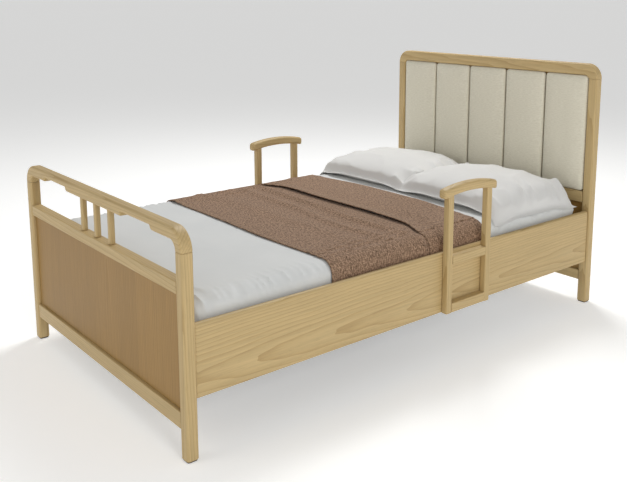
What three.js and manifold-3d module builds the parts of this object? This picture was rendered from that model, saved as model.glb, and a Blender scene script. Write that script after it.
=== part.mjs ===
// A wooden home-care bed with an upholstered headboard, a spindled footboard, two assist
// handles and an electric four-section deck. Millimetres, +Z up, head end towards +Y.
// The origin is on the floor below the middle of the bed.
import * as THREE from 'three';
import { mergeVertices } from 'three/addons/utils/BufferGeometryUtils.js';
import Module from 'manifold-3d';

const wasm = await Module();
wasm.setup();

// ---- driving dimensions -------------------------------------------------------------------
const GAP = 0.3; // between pieces that touch

const BED_WIDTH = 1250; // across the outside of the posts
const BED_LENGTH = 2142; // over both boards
const BOARD_DEPTH = 42; // posts of both boards, along the bed
const FOOT_TOP = 740;
const HEAD_TOP = 1108;

const FOOT_POST = 42;
const HEAD_POST = 45;
const POST_ROUND = 9;
const GLIDE_HEIGHT = 5;

const FOOT_CORNER = 72; // outer radius of the footboard's bent corner
const FOOT_RAIL_HEIGHT = 42;
const NOTCH = { from: 222, to: 436, rise: 15, slope: 9 };
const SPINDLE = { width: 22, depth: 20, pitch: 112 };
const FOOT_MID = { bottom: 533, top: 574 };
const FOOT_LOW = { bottom: 98, top: 155 };

const HEAD_CORNER = 66;
const HEAD_RAIL_HEIGHT = 52;
const HEAD_CHAMFER = 16; // inner corners of the headboard frame
const HEAD_MID = { bottom: 472, top: 524 };
const HEAD_LOW = { bottom: 103, top: 149 };
const PAD_COUNT = 5;
const PAD_DEPTH = 22;

const RAIL = { bottom: 197, top: 439, thickness: 24, inset: 8 };

const HANDLE = {
  width: 28, depth: 30, first: 57, second: 279, bottom: 199, top: 666,
  armWidth: 40, armHeight: 36, armFrom: 31, armTo: 335, armEnd: 692, armRise: 17,
  crossUpper: [394, 428], crossLower: [200, 238],
};

const DECK_TOP = 330;
const FRAME_DEPTH = 30; // section side bars
const PIVOT_Z = DECK_TOP - FRAME_DEPTH / 2;
const BACK_PIVOT = 200;
const THIGH_PIVOT = -75;
const KNEE_PIVOT = -405;
const MATTRESS = { from: -1012, to: 988, half: 583, top: 500, round: 50 };
const SWING = 18; // clear radius round each pivot
const ROD_RADIUS = 10;
const EYE_RADIUS = 15;
const EYE_BORE = 10.5;

const SUBFRAME_TOP = 290;
const SUBFRAME_X = 545; // middle of each long tube
const CROSS = { bottom: 256, width: 30 };
const CROSS_AT = [-980, -480, -140, -15, 120, 300, 560, 980];

const LEVER = { length: 83, width: 12, pad: 10, thickness: 14, x: 150 };
const BACK_LIFT = 65; // degrees
const THIGH_LIFT = 30;
const DRIVE_Z = 232;
const DRIVE_GAP = 1.2; // rest gap between thrust plate and lever pad

const HALF_WIDTH = BED_WIDTH / 2;
const HALF_LENGTH = BED_LENGTH / 2;
const FOOT_FACE = -HALF_LENGTH; // outer face of the footboard
const HEAD_FACE = HALF_LENGTH - BOARD_DEPTH; // face of the headboard towards the mattress
const RAIL_OUT = HALF_WIDTH - RAIL.inset;
const RAIL_IN = RAIL_OUT - RAIL.thickness;

// ---- materials ----------------------------------------------------------------------------
function paint(color, roughness, metalness = 0) {
  return new THREE.MeshStandardMaterial({ color, roughness, metalness });
}
const OAK = paint(0xc8b288, 0.5);
const OAK_PANEL = paint(0xa8905f, 0.55);
const LINEN = paint(0xbdb9a8, 0.9);
const COTTON = paint(0xd2d3d3, 0.9);
const PILLOW_COTTON = paint(0xdcdbd8, 0.9);
const KNIT = paint(0x87715f, 0.95);
const STEEL = paint(0x8d9196, 0.45, 0.8);
const CHROMED = paint(0xc6c9cc, 0.2, 1);
const MOTOR_PLASTIC = paint(0x3a3c3f, 0.6);
const GLIDE_PLASTIC = paint(0x2b2622, 0.7);

// ---- shapes and solids --------------------------------------------------------------------
const ALONG_X = new THREE.Matrix4().makeBasis(
  new THREE.Vector3(0, 1, 0), new THREE.Vector3(0, 0, 1), new THREE.Vector3(1, 0, 0));
const ALONG_Y = new THREE.Matrix4().makeBasis(
  new THREE.Vector3(-1, 0, 0), new THREE.Vector3(0, 0, 1), new THREE.Vector3(0, 1, 0));
const ALONG_Z = new THREE.Matrix4();

// Extrudes a shape from one coordinate to another with its rims rounded by `rim`.
// Along X the shape lies in (Y, Z), along Z in (X, Y), and along Y in (-X, Z).
function extrude(shape, direction, from, to, rim = 0, curveSegments = 3) {
  const geometry = new THREE.ExtrudeGeometry(shape, {
    depth: to - from - 2 * rim, curveSegments, bevelEnabled: rim > 0,
    bevelThickness: rim, bevelSize: rim, bevelOffset: -rim, bevelSegments: 1,
  });
  return geometry.translate(0, 0, from + rim).applyMatrix4(direction);
}

function roundedRect(x0, y0, x1, y1, radius) {
  const r = typeof radius === 'number' ? [radius, radius, radius, radius] : radius;
  const [lowLeft, lowRight, topRight, topLeft] = r;
  const shape = new THREE.Shape();
  shape.moveTo(x0 + lowLeft, y0).lineTo(x1 - lowRight, y0);
  if (lowRight) shape.absarc(x1 - lowRight, y0 + lowRight, lowRight, -Math.PI / 2, 0);
  shape.lineTo(x1, y1 - topRight);
  if (topRight) shape.absarc(x1 - topRight, y1 - topRight, topRight, 0, Math.PI / 2);
  shape.lineTo(x0 + topLeft, y1);
  if (topLeft) shape.absarc(x0 + topLeft, y1 - topLeft, topLeft, Math.PI / 2, Math.PI);
  shape.lineTo(x0, y0 + lowLeft);
  if (lowLeft) shape.absarc(x0 + lowLeft, y0 + lowLeft, lowLeft, Math.PI, Math.PI * 1.5);
  return shape;
}

function block(x0, y0, z0, x1, y1, z1) {
  return new THREE.BoxGeometry(x1 - x0, y1 - y0, z1 - z0)
    .translate((x0 + x1) / 2, (y0 + y1) / 2, (z0 + z1) / 2);
}

function rodAlongX(radius, x0, x1, y, z, sides = 20) {
  return new THREE.CylinderGeometry(radius, radius, x1 - x0, sides)
    .rotateZ(Math.PI / 2).translate((x0 + x1) / 2, y, z);
}

function rodAlongY(radius, y0, y1, x, z, sides = 20) {
  return new THREE.CylinderGeometry(radius, radius, y1 - y0, sides).translate(x, (y0 + y1) / 2, z);
}

function toSolid(geometry) {
  const bare = geometry.clone();
  bare.deleteAttribute('normal');
  bare.deleteAttribute('uv');
  const merged = mergeVertices(bare, 1e-3);
  return new wasm.Manifold(new wasm.Mesh({
    numProp: 3,
    vertProperties: new Float32Array(merged.attributes.position.array),
    triVerts: new Uint32Array(merged.index.array),
  }));
}

function toGeometry(solid) {
  const mesh = solid.getMesh();
  const geometry = new THREE.BufferGeometry();
  geometry.setAttribute('position', new THREE.BufferAttribute(mesh.vertProperties, 3));
  geometry.setIndex(new THREE.BufferAttribute(mesh.triVerts, 1));
  return geometry;
}

function weld(pieces, cuts = []) {
  let solid = pieces.map(toSolid).reduce((whole, piece) => whole.add(piece));
  for (const cut of cuts) solid = solid.subtract(toSolid(cut));
  return toGeometry(solid);
}

const bed = new THREE.Group();

function add(name, geometry, material) {
  const mesh = new THREE.Mesh(geometry, material);
  mesh.name = name;
  bed.add(mesh);
}

const SIDES = [['left', -1], ['right', 1]];

function span(side, a, b) {
  return side > 0 ? [a, b] : [-b, -a];
}

// ---- board frames -------------------------------------------------------------------------
// A post with rounded edges, standing on a plastic glide.
function addPost(board, side, width, faceY, top) {
  const [name, sign] = side;
  const [x0, x1] = span(sign, HALF_WIDTH - width, HALF_WIDTH);
  const outline = roundedRect(x0, faceY, x1, faceY + BOARD_DEPTH, POST_ROUND);
  add(`${board}_post_${name}`, extrude(outline, ALONG_Z, GLIDE_HEIGHT + GAP, top - GAP, 1.5), OAK);
  const sole = roundedRect(x0 + 3, faceY + 3, x1 - 3, faceY + BOARD_DEPTH - 3, POST_ROUND - 2);
  add(`${board}_glide_${name}`, extrude(sole, ALONG_Z, 0, GLIDE_HEIGHT, 1), GLIDE_PLASTIC);
}

// The top rail of a board with its two bent corners, which stand on the posts. `under` lists
// the points of the lower edge from the left inner corner to the right one.
function topRail(top, corner, postWidth, under) {
  const joint = top - corner;
  const shape = new THREE.Shape();
  shape.moveTo(HALF_WIDTH, joint);
  shape.absarc(HALF_WIDTH - corner, joint, corner, 0, Math.PI / 2);
  shape.absarc(corner - HALF_WIDTH, joint, corner, Math.PI / 2, Math.PI);
  shape.lineTo(postWidth - HALF_WIDTH, joint);
  for (const [x, z] of under) shape.lineTo(x, z);
  shape.lineTo(HALF_WIDTH - postWidth, joint);
  return shape;
}

function arcPoints(cx, cz, radius, from, to, steps) {
  return Array.from({ length: steps + 1 }, (_, i) => {
    const angle = THREE.MathUtils.degToRad(from + ((to - from) * i) / steps);
    return [cx + radius * Math.cos(angle), cz + radius * Math.sin(angle)];
  });
}

// ---- footboard ----------------------------------------------------------------------------
function addFootboard() {
  const joint = FOOT_TOP - FOOT_CORNER;
  for (const side of SIDES) addPost('footboard', side, FOOT_POST, FOOT_FACE, joint);

  const low = FOOT_TOP - FOOT_RAIL_HEIGHT;
  const inner = FOOT_CORNER - FOOT_POST;
  const bendX = HALF_WIDTH - FOOT_CORNER;
  const notch = [
    [NOTCH.from, low], [NOTCH.from + NOTCH.slope, low + NOTCH.rise],
    [NOTCH.to - NOTCH.slope, low + NOTCH.rise], [NOTCH.to, low],
  ];
  const rightEdge = [...notch, ...arcPoints(bendX, joint, inner, 90, 0, 5)];
  const leftEdge = rightEdge.map(([x, z]) => [-x, z]).reverse();
  const outline = topRail(FOOT_TOP, FOOT_CORNER, FOOT_POST, [...leftEdge, ...rightEdge].slice(1, -1));
  add('footboard_top_rail',
    extrude(outline, ALONG_Y, FOOT_FACE, FOOT_FACE + BOARD_DEPTH, 5, 8), OAK);

  const middle = FOOT_FACE + BOARD_DEPTH / 2;
  for (const n of [-1, 0, 1]) {
    const x = n * SPINDLE.pitch;
    const outline = roundedRect(x - SPINDLE.width / 2, middle - SPINDLE.depth / 2,
      x + SPINDLE.width / 2, middle + SPINDLE.depth / 2, 6);
    add(`footboard_spindle_${n + 2}`, extrude(outline, ALONG_Z, FOOT_MID.top + GAP, low - GAP), OAK);
  }

  const half = HALF_WIDTH - FOOT_POST - GAP;
  const bar = (range, depth, rim) => extrude(
    roundedRect(-half, range.bottom, half, range.top, 0), ALONG_Y,
    middle - depth / 2, middle + depth / 2, rim);
  add('footboard_mid_rail', bar(FOOT_MID, 38, 3), OAK);
  add('footboard_bottom_rail', bar(FOOT_LOW, 36, 3), OAK);
  const panel = { bottom: FOOT_LOW.top + GAP, top: FOOT_MID.bottom - GAP };
  add('footboard_panel', bar(panel, 14, 0), OAK_PANEL);
}

// ---- headboard ----------------------------------------------------------------------------
function addHeadboard() {
  const joint = HEAD_TOP - HEAD_CORNER;
  for (const side of SIDES) addPost('headboard', side, HEAD_POST, HEAD_FACE, joint);

  const opening = HALF_WIDTH - HEAD_POST;
  const low = HEAD_TOP - HEAD_RAIL_HEIGHT;
  const chamfer = Math.min(HEAD_CHAMFER, low - joint);
  const edge = [[-opening, low - chamfer], [chamfer - opening, low], [opening - chamfer, low],
    [opening, low - chamfer]].filter(([, z]) => z > joint + 1e-6);
  add('headboard_top_rail', extrude(topRail(HEAD_TOP, HEAD_CORNER, HEAD_POST, edge),
    ALONG_Y, HEAD_FACE, HALF_LENGTH, 4, 8), OAK);

  const half = opening - GAP;
  const board = (name, bottom, top, from, to, rim, material, corners = 0) => add(name, extrude(
    roundedRect(-half, bottom, half, top, corners), ALONG_Y, from, to, rim), material);
  board('headboard_mid_rail', HEAD_MID.bottom, HEAD_MID.top, HEAD_FACE + 2, HALF_LENGTH - 2, 3, OAK);
  board('headboard_bottom_rail', HEAD_LOW.bottom, HEAD_LOW.top, HEAD_FACE + 4, HALF_LENGTH - 4, 3, OAK);
  board('headboard_lower_panel', HEAD_LOW.top + GAP, HEAD_MID.bottom - GAP,
    HEAD_FACE + 15, HEAD_FACE + 27, 0, OAK_PANEL);
  const backing = HEAD_FACE + PAD_DEPTH + 1;
  board('headboard_backing', HEAD_MID.top + GAP, low - GAP, backing, backing + 9, 0, OAK_PANEL,
    [0, 0, 26, 26]);

  const pitch = (2 * half) / PAD_COUNT;
  for (let n = 0; n < PAD_COUNT; n++) {
    const left = -half + n * pitch + GAP;
    const corners = [8, 8, n === PAD_COUNT - 1 ? 26 : 8, n === 0 ? 26 : 8];
    const outline = roundedRect(left, HEAD_MID.top + 1, left + pitch - 2 * GAP, low - 1, corners);
    const pad = extrude(outline, ALONG_Y, HEAD_FACE + 2, backing - GAP, 5);
    add(`headboard_pad_${n + 1}`, pad, LINEN);
  }
}

// ---- side rails and assist handles --------------------------------------------------------
function addSide([name, sign]) {
  const reach = HEAD_FACE - GAP;
  const [x0, x1] = span(sign, RAIL_IN, RAIL_OUT);
  const section = roundedRect(-x1, RAIL.bottom, -x0, RAIL.top, [4, 4, 10, 10]);
  add(`side_rail_${name}`, extrude(section, ALONG_Y, -reach, reach, 3), OAK);

  const [u0, u1] = span(sign, RAIL_OUT + GAP, RAIL_OUT + GAP + HANDLE.width);
  const posts = [['foot', HANDLE.first], ['head', HANDLE.second]];
  for (const [end, y] of posts) {
    const outline = roundedRect(u0, y, u1, y + HANDLE.depth, 5);
    add(`handle_${name}_upright_${end}`,
      extrude(outline, ALONG_Z, HANDLE.bottom, HANDLE.top, 1.5), OAK);
  }
  const from = HANDLE.first + HANDLE.depth + GAP;
  const to = HANDLE.second - GAP;
  for (const [level, [z0, z1]] of [['upper', HANDLE.crossUpper], ['lower', HANDLE.crossLower]]) {
    add(`handle_${name}_${level}_rail`,
      extrude(roundedRect(-u1, z0, -u0, z1, 3), ALONG_Y, from, to), OAK);
  }

  // The arm: an arched bar, so its outline is an arc above and a parallel one below.
  const half = (HANDLE.armTo - HANDLE.armFrom) / 2;
  const centre = HANDLE.armFrom + half;
  const radius = (half * half + HANDLE.armRise * HANDLE.armRise) / (2 * HANDLE.armRise);
  const centreZ = HANDLE.armEnd + HANDLE.armRise - radius;
  const sweep = THREE.MathUtils.radToDeg(Math.asin(half / radius));
  const upper = arcPoints(centre, centreZ, radius, 90 - sweep, 90 + sweep, 12);
  const lower = upper.map(([y, z]) => [y, z - HANDLE.armHeight]).reverse();
  const seat = (y) => centreZ + Math.sqrt(radius ** 2 - (y - centre) ** 2) - HANDLE.armHeight;
  const outline = new THREE.Shape([...upper, ...lower].map(([y, z]) => new THREE.Vector2(y, z)));
  const [a0, a1] = span(sign, RAIL_OUT + (HANDLE.width - HANDLE.armWidth) / 2,
    RAIL_OUT + (HANDLE.width + HANDLE.armWidth) / 2);
  // Flat seats are cut in the underside where the arm sits on the uprights.
  const seats = posts.map(([, y]) => block(u0 - 2, y - 2, seat(y) - 20,
    u1 + 2, y + HANDLE.depth + 2, HANDLE.top + GAP));
  add(`handle_${name}_arm`, weld([extrude(outline, ALONG_X, a0, a1, 5)], seats), OAK);
}

// ---- steel subframe -----------------------------------------------------------------------
// Side plate of a hinge: a round eye with a foot that reaches down to z.
function lug(x0, x1, y, z) {
  return [rodAlongX(EYE_RADIUS, x0, x1, y, PIVOT_Z, 24), block(x0, y - 12, z, x1, y + 12, PIVOT_Z)];
}

function addSubframe() {
  const reach = HEAD_FACE - 15;
  const pieces = [];
  const cuts = [];
  for (const sign of [-1, 1]) {
    const [x0, x1] = span(sign, SUBFRAME_X - 15, SUBFRAME_X + 15);
    pieces.push(block(x0, -reach, CROSS.bottom, x1, reach, SUBFRAME_TOP));
    cuts.push(block(x0 + 2, -reach - 1, CROSS.bottom + 2, x1 - 2, reach + 1, SUBFRAME_TOP - 2));
    for (const y of [BACK_PIVOT, THIGH_PIVOT]) {
      pieces.push(...lug(x0, x1, y, SUBFRAME_TOP - 1));
      cuts.push(rodAlongX(EYE_BORE, x0 - 1, x1 + 1, y, PIVOT_Z, 24));
    }
    // tabs that bolt the frame to the wooden side rails
    const [t0, t1] = span(sign, SUBFRAME_X + 13, RAIL_IN - GAP);
    for (const y of [-800, 0, 800]) pieces.push(block(t0, y - 40, CROSS.bottom, t1, y + 40, 262));
  }
  const half = SUBFRAME_X - 14;
  const wall = 3;
  for (const y of CROSS_AT) {
    const [y0, y1] = [y - CROSS.width / 2, y + CROSS.width / 2];
    pieces.push(block(-half, y0, CROSS.bottom, half, y1, SUBFRAME_TOP));
    cuts.push(block(2 - half, y0 + wall, CROSS.bottom - 1, half - 2, y1 - wall, SUBFRAME_TOP - wall));
  }
  add('subframe', weld(pieces, cuts), STEEL);
}

// ---- deck sections ------------------------------------------------------------------------
const BAR = 20; // width of a section's side bars
const SHEET = 3;

// Rows of slots through the sheet, which let the mattress breathe.
function ventSlots(rows) {
  return rows.flatMap((y) => [-400, -200, 0, 200, 400].map((x) => extrude(
    roundedRect(x - 75, y - 12, x + 75, y + 12, 9), ALONG_Z, DECK_TOP - SHEET - 1, DECK_TOP + 1,
    0, 2)));
}

// A side bar from an eye on the pivot to the section's free end.
function sideBar(x0, x1, pivot, end) {
  const [y0, y1] = pivot < end ? [pivot, end] : [end, pivot];
  return [
    rodAlongX(EYE_RADIUS, x0, x1, pivot, PIVOT_Z, 24),
    block(x0, y0, DECK_TOP - FRAME_DEPTH, x1, y1, DECK_TOP),
  ];
}

// The lever that the drive pushes on: it hangs from the pivot at `degrees` from straight down,
// positive towards +Y, and ends in a round pad.
function lever(x, pivot, degrees) {
  const angle = THREE.MathUtils.degToRad(degrees);
  const [halfX, halfY] = [LEVER.thickness / 2, LEVER.width / 2];
  const arm = block(x - halfX, -halfY, -LEVER.length, x + halfX, halfY, 0).rotateX(angle).translate(0, pivot, PIVOT_Z);
  const tipY = pivot + LEVER.length * Math.sin(angle);
  const tipZ = PIVOT_Z - LEVER.length * Math.cos(angle);
  return [
    arm,
    rodAlongX(EYE_RADIUS, x - halfX, x + halfX, pivot, PIVOT_Z, 24),
    rodAlongX(LEVER.pad, x - 16, x + 16, tipY, tipZ, 24),
  ];
}

// A welded deck section: side bars, cross bars and a slotted sheet on top.
function section({ pivot, start, end, barX, bars, slots, extra, bores }) {
  const [y0, y1] = start < end ? [start, end] : [end, start];
  const pieces = [block(-560, y0, DECK_TOP - SHEET, 560, y1, DECK_TOP), ...extra];
  for (const sign of [-1, 1]) {
    const [x0, x1] = span(sign, barX - BAR / 2, barX + BAR / 2);
    pieces.push(...sideBar(x0, x1, pivot, end));
  }
  for (const y of bars) {
    pieces.push(block(-barX, y - 10, DECK_TOP - 26, barX, y + 10, DECK_TOP - 1));
  }
  const cuts = bores.map(([y, radius]) => rodAlongX(radius, -600, 600, y, PIVOT_Z, 24));
  return weld(pieces, [...cuts, ...ventSlots(slots)]);
}

function addDeck() {
  const reach = MATTRESS.to;
  const backAngle = -BACK_LIFT / 2;
  const thighAngle = THIGH_LIFT / 2;
  // flat links tie each lever to the first cross bar of its section
  const backTie = block(LEVER.x - 7, BACK_PIVOT, DECK_TOP - 26, LEVER.x + 7, BACK_PIVOT + 45, DECK_TOP - 4);
  const thighTie = block(-LEVER.x - 7, THIGH_PIVOT - 45, DECK_TOP - 26, 7 - LEVER.x, THIGH_PIVOT,
    DECK_TOP - 4);

  add('back_section', section({
    pivot: BACK_PIVOT, start: BACK_PIVOT + SWING, end: reach, barX: 500,
    bars: [BACK_PIVOT + 40, 480, 720, reach - 10], slots: [320, 400, 560, 640, 800, 880],
    extra: [...lever(LEVER.x, BACK_PIVOT, backAngle), backTie],
    bores: [[BACK_PIVOT, EYE_BORE]],
  }), STEEL);

  const seatFrom = THIGH_PIVOT + SWING;
  const seatTo = BACK_PIVOT - SWING;
  const ribs = [-1, 1].map((sign) => {
    const [x0, x1] = span(sign, 440, 460);
    return block(x0, seatFrom + 15, SUBFRAME_TOP + GAP, x1, seatTo - 15, DECK_TOP - 1);
  });
  add('seat_section', weld([block(-560, seatFrom, DECK_TOP - SHEET, 560, seatTo, DECK_TOP), ...ribs],
    ventSlots([-10, 62, 134])), STEEL);

  const knees = [-1, 1].map((sign) => {
    const [x0, x1] = span(sign, 500 - BAR / 2, 500 + BAR / 2);
    return rodAlongX(EYE_RADIUS, x0, x1, KNEE_PIVOT, PIVOT_Z, 24);
  });
  add('thigh_section', section({
    pivot: THIGH_PIVOT, start: THIGH_PIVOT - SWING, end: KNEE_PIVOT + SWING, barX: 500,
    bars: [THIGH_PIVOT - 40, KNEE_PIVOT + 40], slots: [-190, -290],
    extra: [...lever(-LEVER.x, THIGH_PIVOT, thighAngle), thighTie, ...knees,
      ...[-1, 1].map((sign) => {
        const [x0, x1] = span(sign, 500 - BAR / 2, 500 + BAR / 2);
        return block(x0, KNEE_PIVOT, DECK_TOP - FRAME_DEPTH, x1, KNEE_PIVOT + SWING + 1, DECK_TOP);
      })],
    bores: [[THIGH_PIVOT, EYE_BORE], [KNEE_PIVOT, EYE_BORE]],
  }), STEEL);

  const footBar = block(-560, -reach, DECK_TOP - 25, 560, -reach + 40, DECK_TOP - 1);
  add('calf_section', section({
    pivot: KNEE_PIVOT, start: KNEE_PIVOT - SWING, end: -reach, barX: 525,
    bars: [KNEE_PIVOT - 40, -700], slots: [-530, -610, -785, -865],
    extra: [footBar], bores: [[KNEE_PIVOT, EYE_BORE]],
  }), STEEL);

  const rods = [
    ['back_hinge_rod', BACK_PIVOT, 562], ['thigh_hinge_rod', THIGH_PIVOT, 562],
    ['knee_hinge_rod', KNEE_PIVOT, 540],
  ];
  for (const [name, y, half] of rods) {
    add(name, rodAlongX(ROD_RADIUS, -half, half, y, PIVOT_Z, 16), CHROMED);
  }

  // nylon glides that carry the foot end of the calf section along the long tubes
  const glideTop = DECK_TOP - 25 - GAP;
  const glideY = -965;
  for (const [name, sign] of SIDES) {
    const [x0, x1] = span(sign, SUBFRAME_X - 9, SUBFRAME_X + 13);
    const outline = new THREE.Shape();
    outline.moveTo(glideY + 12, glideTop).lineTo(glideY - 12, glideTop).lineTo(glideY - 12, 303);
    outline.absarc(glideY, 303, 12, Math.PI, 2 * Math.PI);
    add(`calf_glide_${name}`, extrude(outline, ALONG_X, x0, x1), GLIDE_PLASTIC);
  }
}

// ---- drives -------------------------------------------------------------------------------
// A push-only linear drive hung under the subframe. Its thrust plate faces `way` (+1 head,
// -1 foot) at faceY; distances below are measured back from that face.
function addDrive(name, x, faceY, way, hangers) {
  const at = (s) => faceY - way * s;
  const along = (s0, s1) => [Math.min(at(s0), at(s1)), Math.max(at(s0), at(s1))];
  const tube = rodAlongY(19, ...along(50, 450), x, DRIVE_Z, 24);
  const bore = rodAlongY(13, ...along(49, 330), x, DRIVE_Z, 24);
  const [g0, g1] = along(440, 490);
  const side = Math.sign(x);
  const [m0, m1] = span(side, Math.abs(x) - 22, Math.abs(x) + 72);
  const gearbox = extrude(roundedRect(-m1, DRIVE_Z - 22, -m0, DRIVE_Z + 22, 8), ALONG_Y, g0, g1, 2);
  const motor = rodAlongY(22, ...along(480, 600), x + side * 47, DRIVE_Z, 24);
  const feet = hangers.map((y) => block(x - 16, y - 12, DRIVE_Z + 10, x + 16, y + 12,
    CROSS.bottom - GAP));
  add(`${name}_drive`, weld([tube, gearbox, motor, ...feet], [bore]), MOTOR_PLASTIC);

  const [p0, p1] = along(0, 10);
  const plate = extrude(roundedRect(-x - 20, DRIVE_Z - 18, 20 - x, DRIVE_Z + 16, 5), ALONG_Y, p0, p1, 1);
  add(`${name}_push_rod`, weld([plate, rodAlongY(12, ...along(5, 270), x, DRIVE_Z, 24)]), CHROMED);
}

function addDrives() {
  const reachOf = (lift) => LEVER.length * Math.sin(THREE.MathUtils.degToRad(lift / 2)) + LEVER.pad;
  addDrive('back', LEVER.x, BACK_PIVOT - reachOf(BACK_LIFT) - DRIVE_GAP, 1, [-15, -140]);
  addDrive('thigh', -LEVER.x, THIGH_PIVOT + reachOf(THIGH_LIFT) + DRIVE_GAP, -1, [120, 300]);
  const box = extrude(roundedRect(300, 290, 420, 570, 12), ALONG_Z, 214, CROSS.bottom - GAP, 3);
  add('control_box', box, MOTOR_PLASTIC);
}

// ---- soft parts ---------------------------------------------------------------------------
function addSoftParts() {
  const pieces = [
    ['calf', MATTRESS.from, KNEE_PIVOT], ['thigh', KNEE_PIVOT, THIGH_PIVOT],
    ['seat', THIGH_PIVOT, BACK_PIVOT + 14], ['back', BACK_PIVOT + 14, MATTRESS.to],
  ];
  const section = roundedRect(-MATTRESS.half, DECK_TOP + 1, MATTRESS.half, MATTRESS.top,
    [10, 10, MATTRESS.round, MATTRESS.round]);
  for (const [name, y0, y1] of pieces) {
    add(`mattress_${name}`, extrude(section, ALONG_Y, y0 + 1, y1 - 1, 0, 3), COTTON);
  }

  // the throw lies over the mattress and hangs between it and the side rails
  const rim = 5;
  const outer = roundedRect(-MATTRESS.half - 6, 400, MATTRESS.half + 6, MATTRESS.top + 7,
    [0, 0, MATTRESS.round + rim, MATTRESS.round + rim]);
  const inner = roundedRect(-MATTRESS.half - 1, 380, MATTRESS.half + 1, MATTRESS.top + 1,
    [0, 0, MATTRESS.round, MATTRESS.round]);
  add('throw', weld([extrude(outer, ALONG_Y, -472, 388, 0, 3)],
    [extrude(inner, ALONG_Y, -473, 389, 0, 3)]), KNIT);

  for (const [name, sign] of SIDES) {
    const [x0, x1] = span(sign, 3, 576);
    const outline = roundedRect(x0, 448, x1, 945, 60);
    add(`pillow_${name}`, extrude(outline, ALONG_Z, MATTRESS.top + 1, 622, 40), PILLOW_COTTON);
  }
}

addFootboard();
addHeadboard();
SIDES.forEach(addSide);
addSubframe();
addDeck();
addDrives();
addSoftParts();

export default bed;
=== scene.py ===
"""A wooden care bed: oak boards and side rails round a four-section steel deck, with a padded
headboard, two assist handles, a mattress, a folded throw and two pillows. Metres, +Z up."""
import math

import bmesh
import bpy
import numpy
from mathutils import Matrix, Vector, noise


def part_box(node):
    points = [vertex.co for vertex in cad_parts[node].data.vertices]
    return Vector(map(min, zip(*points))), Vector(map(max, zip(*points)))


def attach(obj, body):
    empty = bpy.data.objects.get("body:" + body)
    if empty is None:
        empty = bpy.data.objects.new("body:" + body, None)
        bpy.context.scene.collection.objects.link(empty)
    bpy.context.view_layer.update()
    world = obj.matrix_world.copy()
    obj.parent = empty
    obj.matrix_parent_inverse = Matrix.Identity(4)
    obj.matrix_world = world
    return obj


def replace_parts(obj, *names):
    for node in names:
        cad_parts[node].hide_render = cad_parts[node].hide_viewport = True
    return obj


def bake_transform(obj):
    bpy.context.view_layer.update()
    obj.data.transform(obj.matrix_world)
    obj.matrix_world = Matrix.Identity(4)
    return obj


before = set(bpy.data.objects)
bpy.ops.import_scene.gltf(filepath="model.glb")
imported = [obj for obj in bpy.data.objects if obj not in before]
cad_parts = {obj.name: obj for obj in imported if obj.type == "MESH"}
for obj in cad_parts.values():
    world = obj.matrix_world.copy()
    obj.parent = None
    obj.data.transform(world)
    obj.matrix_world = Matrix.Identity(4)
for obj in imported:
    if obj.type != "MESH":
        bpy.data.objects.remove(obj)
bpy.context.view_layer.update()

# ---- Studio ---------------------------------------------------------------------------------
# A pale floor under soft light: a broad key from the bed's right, a weaker fill from the foot
# end, a light above the head end and a white surround that is brighter near the horizon.
FLOOR_REACH = 500
LIGHT_AIM = Vector((0, 0, 0.5))
camera_data = bpy.data.cameras.new("camera")
camera_data.sensor_width = 36.0
camera_data.lens = 47.44
camera_data.shift_x = -0.0263
camera_data.shift_y = -0.1611
camera = bpy.data.objects.new("camera", camera_data)
camera.location = (2.6781, -2.2119, 1.4154)
camera.rotation_euler = (math.radians(90 - 10.030), 0, math.radians(50.314))
bpy.context.collection.objects.link(camera)
bpy.context.scene.camera = camera


def linear(code):
    """A colour for a shader from its sRGB hex code."""
    channels = [int(code[i:i + 2], 16) / 255 for i in (1, 3, 5)]
    return (*[c / 12.92 if c <= 0.04045 else ((c + 0.055) / 1.055) ** 2.4 for c in channels], 1.0)


def add_node(tree, kind, settings=None, inputs=None):
    """A shader node with its settings, and its inputs linked or set."""
    node = tree.nodes.new(kind)
    for name, value in (settings or {}).items():
        setattr(node, name, value)
    for key, value in (inputs or {}).items():
        if isinstance(value, bpy.types.NodeSocket):
            tree.links.new(value, node.inputs[key])
        else:
            node.inputs[key].default_value = value
    return node


def surface(name, constants):
    """A material, its node tree and its shader, with the shader's constants set."""
    material = bpy.data.materials.new(name)
    material.use_nodes = True
    shader = material.node_tree.nodes["Principled BSDF"]
    for socket, value in constants.items():
        shader.inputs[socket].default_value = value
    return material, material.node_tree, shader


floor_paint, _, _ = surface("matt_floor_paint", {
    "Base Color": linear("#F4F4F2"), "Roughness": 0.9, "Specular IOR Level": 0.2,
    "Emission Color": linear("#FFFFFF"), "Emission Strength": 0.36})
bm = bmesh.new()
bmesh.ops.create_grid(bm, x_segments=1, y_segments=1, size=FLOOR_REACH)
floor_mesh = bpy.data.meshes.new("floor")
bm.to_mesh(floor_mesh)
bm.free()
floor_mesh.materials.append(floor_paint)
floor = bpy.data.objects.new("floor", floor_mesh)
bpy.context.collection.objects.link(floor)

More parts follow.
